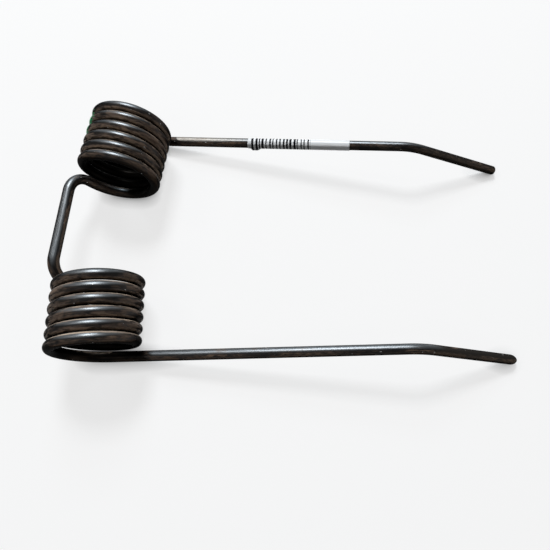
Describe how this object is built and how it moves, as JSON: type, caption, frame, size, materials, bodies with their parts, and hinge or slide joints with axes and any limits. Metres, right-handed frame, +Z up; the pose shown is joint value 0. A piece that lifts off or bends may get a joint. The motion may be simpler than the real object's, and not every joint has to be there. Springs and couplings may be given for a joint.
{
  "type": "pickup tine",
  "caption": "Bent round spring wire: mirrored close-wound coils joined by a clamp loop, each running on into a long finger with a bent-down tip, for lifting hay on a pickup reel.",
  "frame": {"origin": "on the floor that the spring rests on, under the middle of its box", "axes": "+X along the fingers from the coils to the tips, +Y along the loop bar and the coils, +Z up; the spring lies on the undersides of its coils and on its two bent-down tips"},
  "size_m": [0.2478, 0.1344, 0.0435],
  "materials": {
    "spring_steel": "oil-blackened spring steel with a thin brown oxide between the turns",
    "label_paper": null
  },
  "bodies": {
    "root": {"tine_wire": "spring_steel", "paper_label": "label_paper"}
  },
  "joints": []
}
